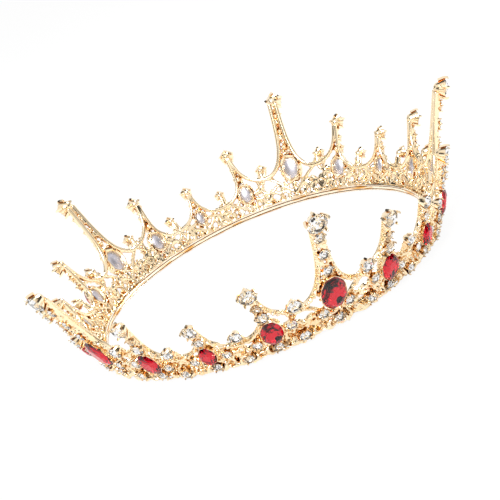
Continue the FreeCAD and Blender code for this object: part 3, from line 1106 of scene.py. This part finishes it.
class CROWN_OT_crystals(bpy.types.Operator):
    """Round clear stones"""
    bl_idname = "crown.crystals"
    bl_label = "Clear stones"

    def execute(self, context):
        s = settings("crown_stones")
        clear = glass_material("clear_cut_glass", "#FFFFFF", s.clear_ior)
        foil = foil_material("silvered_back", "#FFFFFF", 0.0)
        # a near-black foil on the flat end: painted shade, for the dark middle that the stone
        # mirrors
        shade = foil_material("silvered_back_in_painted_shade", "#141418", 0.05)
        master = brilliant("crystal_master", MAINS, CLEAR_FRONT, CLEAR_BACK, (1,) * (2 * MAINS),
                           (clear, foil, shade))
        for group in ROUND_GROUPS:
            for n in range(CASTINGS):
                set_stones(master, "%s_crystals_%d" % (group, n + 1), -0.05,
                           turns=CLEAR_TURNS)
        remove(master)
        return {"FINISHED"}


class CROWN_OT_rubies(bpy.types.Operator):
    """Oval red stones and their silvered backs"""
    bl_idname = "crown.rubies"
    bl_label = "Red stones"

    def execute(self, context):
        s = settings("crown_stones")
        red = glass_material("ruby_red_glass", s.red, s.red_ior)
        foil = foil_material("silvered_ruby_back", "#DEDBDE", 0.0)
        outside = foil_material("silver_lacquer", s.lacquer, s.dullness)
        # grey and near-black foils on chosen back facets: painted half shade and painted shade
        half_shade = foil_material("ruby_back_in_painted_half_shade", "#8C8C90", 0.03)
        shade = foil_material("ruby_back_in_shade", "#141416", 0.05)
        master = brilliant("ruby_master", MAINS, RED_FRONT, RED_BACK, RED_PAINTED_SHADES,
                           (red, foil, half_shade, shade))
        for group in OVAL_GROUPS:
            for n in range(CASTINGS):
                set_stones(master, "%s_%d" % (group, n + 1), 0.1, s.red_unit)
        remove(master)
        for n in range(CASTINGS):
            backs = []
            for matrix, width, length in stone_places("ruby_foils_%d" % (n + 1)):
                bpy.ops.object.select_all(action="DESELECT")
                bpy.ops.mesh.primitive_uv_sphere_add(segments=32, ring_count=16, radius=0.5)
                back = context.object
                bpy.ops.object.mode_set(mode="EDIT")
                bpy.ops.mesh.bisect(plane_co=(0, 0, 0), plane_no=(0, 0, 1), clear_outer=True)
                bpy.ops.mesh.select_all(action="SELECT")
                bpy.ops.mesh.solidify(thickness=0.03)
                bpy.ops.object.mode_set(mode="OBJECT")
                back.data.transform(matrix @ Matrix.Diagonal((
                    width * s.bowl_spread, length * s.bowl_spread, s.bowl_depth * MM, 1)))
                backs.append(back)
            piece = join(backs, "ruby_back_%d" % (n + 1))
            bpy.ops.object.shade_smooth()
            piece.data.materials.append(outside)
            finish_piece(piece, "ruby_foils_%d" % (n + 1))
        return {"FINISHED"}


class CROWN_PT_panel(bpy.types.Panel):
    """Lists the crown's pieces"""
    bl_idname = "CROWN_PT_panel"
    bl_label = "Crown"
    bl_space_type = "VIEW_3D"
    bl_region_type = "UI"
    bl_category = "Crown"

    def draw(self, context):
        for operator in STEPS:
            self.layout.operator(operator.bl_idname)


GROUPS = {"crown_gold": CROWN_Gold, "crown_casting": CROWN_Casting, "crown_camera": CROWN_Camera,
          "crown_band": CROWN_Band, "crown_stones": CROWN_Stones}
STEPS = (CROWN_OT_stage, CROWN_OT_band, CROWN_OT_castings, CROWN_OT_crystals, CROWN_OT_rubies)


def register():
    for name, group in GROUPS.items():
        bpy.utils.register_class(group)
        setattr(bpy.types.Scene, name, bpy.props.PointerProperty(type=group))
    for cls in STEPS + (CROWN_PT_panel,):
        bpy.utils.register_class(cls)


def unregister():
    for cls in reversed(STEPS + (CROWN_PT_panel,)):
        bpy.utils.unregister_class(cls)
    for name, group in reversed(GROUPS.items()):
        delattr(bpy.types.Scene, name)
        bpy.utils.unregister_class(group)


def main():
    register()
    bpy.ops.crown.stage()
    bpy.ops.crown.band()
    bpy.ops.crown.castings()
    bpy.ops.crown.crystals()
    bpy.ops.crown.rubies()


if __name__ == "__main__":
    main()
